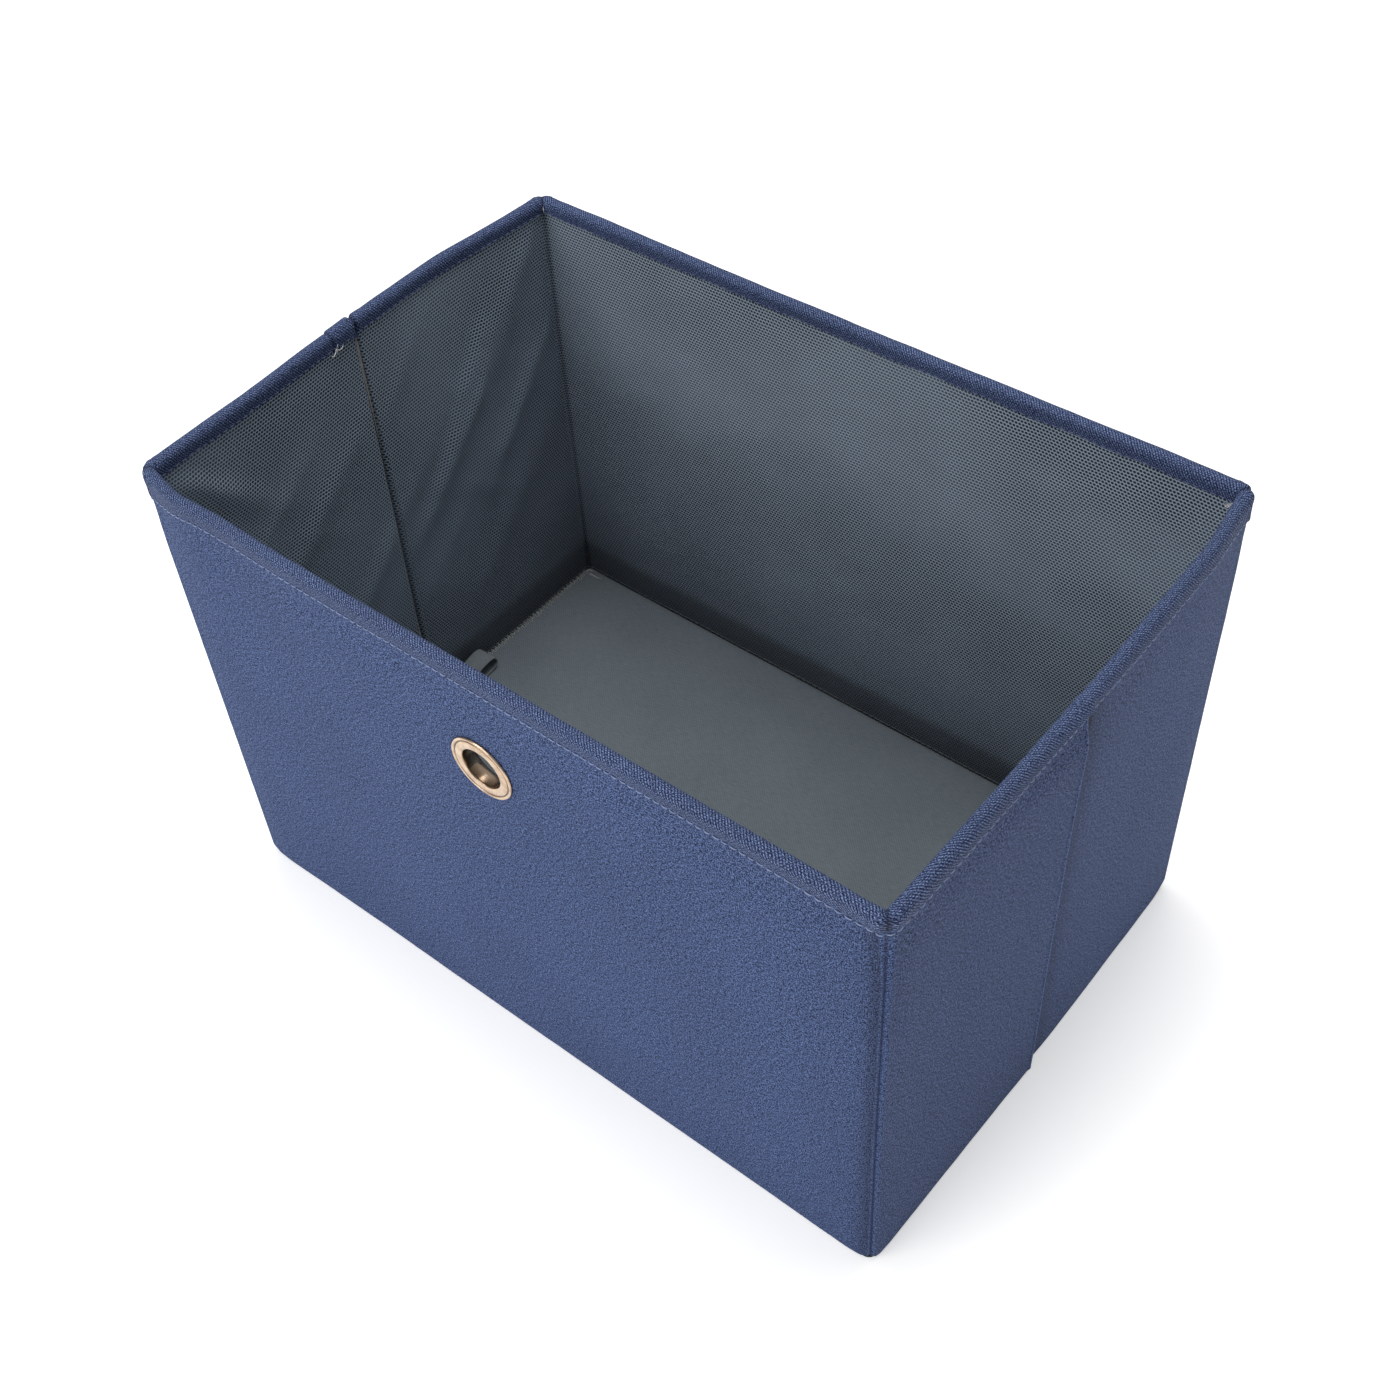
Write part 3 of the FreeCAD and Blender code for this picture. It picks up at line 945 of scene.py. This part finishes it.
def lining_in(seg, t, x, y, z):
    """How far the lining stands inwards off the stiff panels, in mm."""
    d, c = corner_gap(seg, t)
    u = SEG_START[seg] + t * SEG_LEN[seg]
    w = 0.15 + 0.35 * (0.5 + n3(u / 55, z / 48, 1.7))
    left = seg in (7, 0, 1)
    a = 0.62 if left else -0.45
    ca, sa = math.cos(a), math.sin(a)
    p, q = u * ca + z * sa, -u * sa + z * ca
    fold = n3(p / 80, q / 13, 6.1 + (3 if left else 0))
    mask = smooth(n3(u / 70, z / 60, 9.4), -0.15, 0.35)
    w += (0.8 if left else 0.55) * max(fold, 0.0) ** 1.2 * mask
    if seg == 0:
        w += pulls(y, z)
    w += 0.12 * n3(u / 9, z / 9, 2.2) + 0.06
    w *= smooth(d, 0.5, 9)
    w *= 0.3 + 0.7 * smooth(LINING_TOP - z, -2, 14)
    if seg == 0:
        yc = y - left_crease_y(z)
        w *= 1 - 0.9 * bump(yc, 5)
        w -= 1.6 * bump(yc, 0.9) * smooth(TOP - z, 6, 14)
        w += 0.45 * bump(yc - 2.6, 1.6) + 0.25 * bump(yc + 2.6, 1.6)
    return max(w, -1.4)


lz = [BASE_TOP - 0.6, BASE_TOP + 0.6, BASE_TOP + 2.2, BASE_TOP + 4.5]
while lz[-1] < LINING_TOP - 6:
    lz.append(lz[-1] + 3.4)
lz += [LINING_TOP - 2.5, LINING_TOP + 1.5]


def lining_point(seg, t, z, extra=0.0):
    """Point on the lining's inner face, or extra further in."""
    x, y, nx, ny = plan(seg, t, WALL, 3.0)
    w = lining_in(seg, t, x, y, z) + extra
    dx, dy = bow(x, y, z)
    return x - nx * w + dx, y - ny * w + dy, z


def lining_grid(col, z):
    return lining_point(*col, z, 0.5 if z < BASE_TOP + 0.3 else 0.0)


def lining_painted_shade(col, p):
    """Painted shade along the foot above the board, lower down the walls, in the corners and in the left
    crease, and towards the bottom of the left wall.
    """
    seg, t = col
    d = corner_gap(seg, t)[0]
    foot = 0.36 if seg == 0 else 0.48
    w = -foot * (1 - smooth(p[2], BOARD_TOP + 9, BOARD_TOP + 18)) - 0.6 * bump(d, 1.6)
    w -= 0.3 * (1 - smooth(p[2], BOARD_TOP + 12, BOARD_TOP + 70))
    if seg == 0:
        w -= 0.7 * bump(p[1] - left_crease_y(p[2]), 0.9) + 0.14 * (1 - smooth(p[2], 80, 215))
    return w


def lining_uv(s, z):
    return s, z


def lining_stitch(first, at, lift):
    """Closing row in the left crease, inside."""
    return lining_point(0, LEFT_MIDDLE, at, -lift)


lining = ring_loft("lining_cloth", make_columns(3.6), lz, lining_grid, lining_uv, M_LINING, lining_painted_shade,
                   near_eyelet)
belongs(lining, "wall_lining", "shell")

threads("lining_stitches", stitch_row(BASE_TOP + 4, LINING_TOP - 4, 2.9, 0.2, arch(0.25, -0.15, -0.25),
                                      lining_stitch, 0.24),
        M_DARK_THREAD, "lining_closing_stitching", "shell")

# ---- base cloth


def disc_rings(name, hx, hy, radius, profile, settle, material, n_corner, n_x, n_y):
    """Rounded rectangle built from (inset, height) rings drawn in step by step to the middle."""
    corners = ((-1, -1, math.pi), (1, -1, 1.5 * math.pi), (1, 1, 0.0), (-1, 1, 0.5 * math.pi))

    def ring(inset, z):
        out = []
        r = max(radius - inset, 0.4)
        ax, ay = hx - inset - r, hy - inset - r
        for k, (sx, sy, start) in enumerate(corners):
            for m in range(n_corner + 1):
                a = start + m / n_corner * math.pi / 2
                out.append((sx * ax + r * math.cos(a), sy * ay + r * math.sin(a)))
            x0, y0 = out[-1]
            next_x, next_y = corners[(k + 1) % 4][:2]
            x1, y1 = next_x * ax + r * math.cos(a), next_y * ay + r * math.sin(a)
            count = n_y if k % 2 else n_x
            out += [(x0 + (x1 - x0) * m / count, y0 + (y1 - y0) * m / count) for m in range(1, count)]
        return [(x, y, settle(x, y, z)) for x, y in out]

    verts = [p for inset, z in profile for p in ring(inset, z)]
    total = len(verts) // len(profile)
    faces = []
    for k in range(len(profile) - 1):
        for m in range(total):
            m2 = (m + 1) % total
            faces.append((k * total + m, k * total + m2, (k + 1) * total + m2, (k + 1) * total + m))
    flat = [(x + 0.6 * z, y + 0.8 * z) for x, y, z in verts]
    uvs = [tuple(flat[i] for i in quad) for quad in faces]
    middle = tuple(range(len(verts) - total, len(verts)))
    faces.append(middle)
    uvs.append(tuple(verts[i][:2] for i in middle))
    return new_object(name, verts, faces, uvs, material)


def fill_in(profile, inset, step, end, z):
    """Add level rings at height z up to the middle."""
    while inset < end:
        profile.append((inset, z))
        inset += step


def base_sag(x, y, z):
    if z < BASE_TOP - 1.5:
        return z
    return z - 0.25 + 0.2 * n3(x / 40, y / 40, 4.4)


profile = [(0.9, 0.55), (1.4, 0.12), (2.4, 0.0), (3.6, 0.1), (4.1, 0.8), (4.2, 4.0), (4.2, 8.0), (4.4, 11.4),
           (5.4, BASE_TOP - 0.35), (8.0, BASE_TOP - 0.2)]
fill_in(profile, 14.0, 8.0, HY - 4, BASE_TOP - 0.2)
base = disc_rings("base_lining", HX, HY, 5.0, profile, base_sag, M_BASE, 6, 70, 46)
belongs(base, "base_cloth", "shell")


def base_stitch(first, at, lift):
    x, y, nx, ny = plan(*locate(at), WALL + 0.7, 2.4)
    return x - nx * lift * 0.5, y - ny * lift * 0.5, BASE_TOP + 0.25 + lift * 0.4


BASE_LIFTS = ((0.0, 0.1), (0.25, 0.45), (0.75, 0.45), (1.0, 0.1))
threads("base_seam_stitches", stitch_row(1.0, AROUND - 1.0, 3.0, 0.0, BASE_LIFTS, base_stitch, 0.24,
                                         flat=1.0),
        M_DARK_THREAD, "base_seam_stitching", "shell")

# ---- stiff panels inside the walls


PANEL_FOOT_R = 9.0
PANEL_FACES = (0.9, 3.1)  # how far in from the cover's outer face
PANEL_ROWS = 26


def panel_mesh(name, node, seg, a0, a1):
    """One greyboard sheet between the cover and the lining, following the wall's lean."""
    p_low, p_high = box_mm(node)
    z0, z1 = p_low[2], p_high[2] - 1.2
    n = max(int((a1 - a0) / 8), 2)
    us = {a0 + (a1 - a0) * k / n for k in range(n + 1)}
    us = sorted(us | {a0 + 1, a0 + 3, a0 + 6, a1 - 1, a1 - 3, a1 - 6})
    w = len(us)
    verts = []
    for side in PANEL_FACES:
        across = (HY if seg in (2, 6) else HX) - side
        if seg in (0, 2):
            across = -across
        for j in range(PANEL_ROWS + 1):
            for u in us:
                d = min(u - us[0], us[-1] - u, PANEL_FOOT_R)
                foot = z0 + PANEL_FOOT_R - math.sqrt(PANEL_FOOT_R ** 2 - (PANEL_FOOT_R - d) ** 2)
                z = foot + (z1 - foot) * j / PANEL_ROWS
                x, y = (u, across) if seg in (2, 6) else (across, u)
                dx, dy = bow(x, y, z)
                verts.append((x + dx, y + dy, z))
    layer = w * (PANEL_ROWS + 1)
    top = PANEL_ROWS * w
    faces = []
    for base in (0, layer):
        for j in range(PANEL_ROWS):
            for i in range(w - 1):
                q = [base + v for v in (j * w + i, j * w + i + 1, (j + 1) * w + i + 1, (j + 1) * w + i)]
                cx = sum(verts[v][0] for v in q) / 4
                cz = sum(verts[v][2] for v in q) / 4
                if seg != 2 or math.hypot(cx, cz - EYELET_Z) >= PANEL_CUT:
                    faces.append(tuple(q))
    rim = [(j * w + i, (j + 1) * w + i) for i in (0, w - 1) for j in range(PANEL_ROWS)]
    rim += [(start + i, start + i + 1) for start in (0, top) for i in range(w - 1)]
    faces += [(a, b, b + layer, a + layer) for a, b in rim]
    uvs = [tuple((verts[v][0] + verts[v][1], verts[v][2]) for v in q) for q in faces]
    belongs(new_object(name, verts, faces, uvs, M_GREYBOARD, smooth_faces=False), node, "shell")


END = HX - 4.5
END_Y = HY - 4.5
HALF_GAP = 1.8
panel_mesh("stiff_front", "front_stiffener", 2, -END, END)
panel_mesh("stiff_back", "back_stiffener", 6, -END, END)
for side, seg, crease in (("left", 0, LEFT_CREASE), ("right", 4, RIGHT_CREASE)):
    panel_mesh(f"stiff_{side}_front", f"{side}_front_stiffener", seg, -END_Y, crease - HALF_GAP)
    panel_mesh(f"stiff_{side}_rear", f"{side}_rear_stiffener", seg, crease + HALF_GAP, END_Y)

# ---- eyelet


def lathe(name, profile, node, segments):
    """Brass ring turned from (radius, out) pairs about the eyelet's axis; out is from the front face."""
    verts, faces, uvs = [], [], []
    n = len(profile)
    for k in range(segments):
        a = 2 * math.pi * k / segments
        k2 = (k + 1) % segments
        for i, (radius, out) in enumerate(profile):
            rise = radius * math.sin(a)
            verts.append((EYELET[0] + radius * math.cos(a), EYELET[1] - out + TILT * rise, EYELET[2] + rise))
            i2 = (i + 1) % n
            faces.append((k * n + i, k2 * n + i, k2 * n + i2, k * n + i2))
            uvs.append(((k, i), (k + 1, i), (k + 1, i2), (k, i2)))
    belongs(new_object(name, verts, faces, uvs, M_BRASS), node, "shell")


LIFT = 0.75  # the flange lies on the cloth, which stands out this far
flange = [
    (10.0, 0.2), (10.06, 0.75), (10.3, 1.12), (10.75, 1.28), (11.3, 1.36), (12.2, 1.42), (13.0, 1.38),
    (13.7, 1.18), (14.1, 0.82), (14.3, 0.62), (14.5, 0.74), (14.8, 1.12), (15.2, 1.3), (15.65, 1.22),
    (15.95, 0.9), (16.05, 0.45), (15.95, 0.0), (15.3, -0.2),
]
barrel_inside = [(10.55, -5.5), (10.3, -2.5)]
barrel_outside = [
    (11.2, -0.25), (10.7, -0.6), (10.62, -4.75), (11.2, -4.85), (12.6, -4.85), (12.95, -5.1), (12.6, -5.45),
    (11.2, -5.6),
]
raised = [(radius, out + LIFT) for radius, out in flange]
lathe("eyelet_ring", barrel_inside + raised + barrel_outside, "eyelet_flange", 112)
washer = [
    (11.0, -4.2), (15.7, -4.2), (16.0, -4.35), (16.0, -4.6), (15.7, -4.85), (14.6, -4.95), (13.2, -4.85),
    (11.0, -4.8),
]
lathe("eyelet_back_ring", washer, "eyelet_washer", 96)

# ---- base board


def board_sag(x, y, z):
    lift = 0.22 * n3(x / 60, y / 60, 8.8) + 0.05 * n3(x / 14, y / 14, 1.1)
    if z > BOARD_TOP - 0.6:
        edge = min(BOARD_HX - abs(x), BOARD_HY - abs(y))
        return z - 0.1 + (lift + 0.1) * smooth(edge, 0, 6)
    return z


profile = [
    (60.0, BASE_TOP + 0.06), (20.0, BASE_TOP + 0.06), (8.0, BASE_TOP + 0.06), (2.6, BASE_TOP + 0.1),
    (1.1, BASE_TOP + 0.5), (0.35, BASE_TOP + 1.2), (0.0, BASE_TOP + 2.1), (0.0, BASE_TOP + 3.0),
    (0.3, BOARD_TOP - 1.2), (1.0, BOARD_TOP - 0.55), (2.2, BOARD_TOP - 0.15), (4.0, BOARD_TOP),
    (7.0, BOARD_TOP),
]
fill_in(profile, 11.0, 4.0, BOARD_HY - 3, BOARD_TOP)
board = disc_rings("board_cloth", BOARD_HX, BOARD_HY, 6.0, profile, board_sag, M_BOARD, 7, 90, 58)
belongs(board, "board_cover", "board")

# rough overlock along the left short edge: a loop over the edge and a slanted one on top, again and again
parts = []
y = -BOARD_HY + 5.5
down = BASE_TOP - BOARD_TOP
while y < BOARD_HY - 5.5:
    j = rng.uniform(-0.35, 0.35)
    reach = 3.6 + rng.uniform(-0.7, 0.7)
    up = rng.uniform(0.0, 0.25)
    edge = (-BOARD_HX, y, BOARD_TOP)
    parts.append(thread_from(edge, (
        (reach, j, 0.05), (2.2, 0.5 + j, 0.28 + up), (0.4, 0.9 + j, up - 0.15), (-0.35, 1.1, down + 3.0),
        (-0.3, 1.4, down + 1.5), (0.6, 1.6, down + 0.5)), 0.28))
    parts.append(thread_from(edge, (
        (reach, j, 0.08), (reach + 0.2, 1.2 + j, 0.3), (2.0, 2.2, 0.3 + up), (-0.2, 2.5, -0.5)), 0.22))
    y += 2.7 + rng.uniform(-0.25, 0.25)
threads("board_overlock", parts, M_GREY_THREAD, "board_edge_stitching", "board")

# the corner tack: a bar of stitches with a loose loop at each end
tack_low, tack_high = box_mm("board_corner_tack")
left_end = (tack_low[0], tack_high[1], BOARD_TOP)
right_end = (tack_high[0], tack_high[1], BOARD_TOP)
parts = []
step = 0.0
while tack_low[0] + step < tack_high[0]:
    parts.append(thread_from(left_end, (
        (step, -0.9, 0.05), (step + 0.2, -0.3, 0.42), (step + 0.5, 0.3, 0.42), (step + 0.7, 0.8, 0.05)),
        0.24))
    step += 0.62
parts.append(thread_from(left_end, (
    (-0.6, -0.3, 0.2), (-1.8, 0.4, 1.1), (-2.2, 1.8, 1.3), (-1.2, 2.6, 0.6), (0.2, 1.6, 0.2))))
parts.append(thread_from(right_end, ((0, 0, 0.2), (1.4, 0.8, 0.9), (2.2, -0.6, 0.7), (1.0, -1.4, 0.2))))
threads("board_corner_stitches", parts, M_GREY_THREAD, "board_corner_tack", "board")

# the board's stiff core stays as designed, in greyboard
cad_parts["board_core"].data.materials.clear()
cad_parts["board_core"].data.materials.append(M_GREYBOARD)

# ---- pull loop
# the ribbon's section from its root out and back, as (along, up) in mm
LOOP_PATH = [
    (1.0, 0.42), (5.0, 0.42), (9.0, 0.5), (16.0, 0.72), (24.0, 0.9), (31.0, 1.15), (35.0, 2.1), (37.2, 4.0),
    (37.4, 5.9), (35.6, 7.9), (32.0, 8.75), (26.0, 8.35), (19.0, 6.9), (12.5, 4.3), (8.5, 2.2), (5.0, 1.32),
    (1.0, 1.25),
]
LOOP_PER = 5  # points on the curve for each point of the path
ACROSS = 9
RIBBON = 12.0


def spline(p0, p1, p2, p3, f):
    """Catmull-Rom curve between p1 and p2."""
    return (0.5 * (2 * p1 + (p2 - p0) * f + (2 * p0 - 5 * p1 + 4 * p2 - p3) * f * f
                   + (3 * p1 - p0 - 3 * p2 + p3) * f ** 3))


def smooth_path(points):
    padded = [points[0]] + points + [points[-1]]
    out = []
    for four in zip(padded, padded[1:], padded[2:], padded[3:]):
        for m in range(LOOP_PER):
            out.append(tuple(spline(*values, m / LOOP_PER) for values in zip(*four)))
    out.append(points[-1])
    return out


path = smooth_path([(1 + (a - 1) * (LOOP_END - 1.3) / 36.6, b) for a, b in LOOP_PATH])
run = [0.0]
for a, b in zip(path, path[1:]):
    run.append(run[-1] + math.dist(a, b))
loop_mid = (LOOP_X0 + LOOP_X1) / 2
loop_half = (LOOP_X1 - LOOP_X0) / 2 - 0.15
verts, faces, uvs = [], [], []
for k, (py, pz) in enumerate(path):
    f = k / (len(path) - 1)
    skew = 0.25 * math.sin(f * math.pi * 2)
    for m in range(ACROSS):
        g = m / (ACROSS - 1) * 2 - 1
        cup = 0.21 * g * g * math.sin(f * math.pi)
        wave = 0.12 * n3(py / 6, g, f * 3) * smooth(py, 6, 12)
        verts.append((loop_mid + g * loop_half + skew, py - cup, BOARD_TOP + pz + wave))
for k in range(len(path) - 1):
    for m in range(ACROSS - 1):
        faces.append((k * ACROSS + m, k * ACROSS + m + 1, (k + 1) * ACROSS + m + 1, (k + 1) * ACROSS + m))
        u0, u1 = m * RIBBON / (ACROSS - 1), (m + 1) * RIBBON / (ACROSS - 1)
        uvs.append(((u0, run[k]), (u1, run[k]), (u1, run[k + 1]), (u0, run[k + 1])))
loop = new_object("loop_ribbon", verts, faces, uvs, M_RIBBON)
sol = loop.modifiers.new("thickness", "SOLIDIFY")
sol.thickness = 0.6 * MM
sol.offset = 0.0
belongs(loop, "pull_loop", "loop")

tack_low, tack_high = box_mm("loop_tack")
tack_y = (tack_low[1] + tack_high[1]) / 2
parts = []
x = tack_low[0] + 0.3
while x < tack_high[0] - 0.8:
    parts.append(thread_from((x, tack_y, BOARD_TOP), (
        (0, -0.3, 0.02), (0.25, -0.15, 0.25), (0.6, 0.15, 0.25), (0.85, 0.3, 0.02))))
    x += 0.95
threads("loop_stitches", parts, M_GREY_THREAD, "loop_tack", "board")

# ---- loose ends at the rim


def left_t(y):
    return (HY - R0 - y) / SEG_LEN[0]


start = (0, 0, 0)
tuft = rim_spot(0, left_t(LAP - 0.1), -5.6, LINING_TOP + 1.4)
above = rim_spot(0, left_t(-13.2), -5.5, LINING_TOP + 3.5)
parts = [
    thread_from(tuft, (start, (0.6, -1.4, -1.6), (1.3, -3.2, -1.9), (1.6, -4.6, -1.2))),
    thread_from(tuft, (start, (0.7, 0.8, -1.3), (1.2, 2.0, -0.9), (1.4, 3.0, 0.4))),
    thread_from(tuft, (start, (0.5, -0.2, -1.5), (0.9, -0.4, -3.0)), 0.16),
    tube((above, Vector(above) + Vector((0.5, -0.6, -1.4)), tuft), 0.16),
]
for t, b in ((0.3, 0.9), (0.5, 1.6), (0.75, 1.2)):
    back_right = rim_spot(5, t, -5.9, TOP - 5.5 - b)
    parts.append(thread_from(back_right, (start, (-1.4, -0.6 - b, -1.2), (-2.8, -0.8 - b, -0.7)), 0.14))
back_left = rim_spot(7, 0.5, -5.6, TOP - 3.2)
parts.append(thread_from(back_left, (start, (0.4, -0.4, -1.2), (0.5, -0.6, -2.6))))
threads("loose_thread_ends", parts, M_WHITE_THREAD, None, "shell")

# ---- floor, light and camera
FLOOR = 4.0
FLOOR_Z = -0.0003
floor_mesh = bpy.data.meshes.new("floor")
sides = ((-FLOOR, -FLOOR), (FLOOR, -FLOOR), (FLOOR, FLOOR), (-FLOOR, FLOOR))
floor_mesh.from_pydata([(x, y, FLOOR_Z) for x, y in sides], [], [(0, 1, 2, 3)])
floor = bpy.data.objects.new("floor", floor_mesh)
bpy.context.scene.collection.objects.link(floor)
net = Net("paper_white")
floor_mesh.materials.append(net.set(
    Base_Color=net.mix(net.grain(90), (0.91, 0.91, 0.91), (0.93, 0.93, 0.93)), Roughness=0.9,
    Specular_IOR_Level=0.1, Emission_Color=(1.0, 1.0, 1.0, 1.0), Emission_Strength=0.37))

world = bpy.data.worlds.new("studio")
bpy.context.scene.world = world
world.use_nodes = True
background = world.node_tree.nodes["Background"]
background.inputs[0].default_value = (1.0, 1.0, 1.0, 1.0)
background.inputs[1].default_value = 0.42


LIGHTS_AIM = Vector((0, 0, 0.1))


def area_light(name, place, width, watts):
    """Square soft light aimed at the bin."""
    data = bpy.data.lights.new(name, "AREA")
    data.shape = "SQUARE"
    data.size = width
    data.energy = watts
    obj = bpy.data.objects.new(name, data)
    bpy.context.scene.collection.objects.link(obj)
    obj.location = place
    obj.rotation_euler = (LIGHTS_AIM - Vector(place)).to_track_quat("-Z", "Y").to_euler()


area_light("top", (-0.15, 0.26, 2.2), 1.1, 27)
area_light("key", (-0.55, -1.85, 1.5), 1.5, 26)

view = bpy.context.scene.view_settings
view.view_transform = "Standard"
view.look = "None"
view.exposure = 0.0
view.gamma = 1.0

az, el, roll = math.radians(41.697), math.radians(47.322), math.radians(-4.106)
forward = Vector((-math.sin(az) * math.cos(el), math.cos(az) * math.cos(el), -math.sin(el)))
flat = Vector((math.cos(az), math.sin(az), 0))
upright = flat.cross(forward)
right = flat * math.cos(roll) + upright * math.sin(roll)
up = upright * math.cos(roll) - flat * math.sin(roll)
aim = Vector((-0.0161, 0.0207, 0.0953))
place = aim - forward * 0.8846
cam_data = bpy.data.cameras.new("camera")
cam_data.sensor_width = 36.0
cam_data.lens = 47.166
cam_data.clip_start = 0.05
cam = bpy.data.objects.new("camera", cam_data)
bpy.context.scene.collection.objects.link(cam)
cam.matrix_world = Matrix.Translation(place) @ Matrix((right, up, -forward)).transposed().to_4x4()
bpy.context.scene.camera = cam
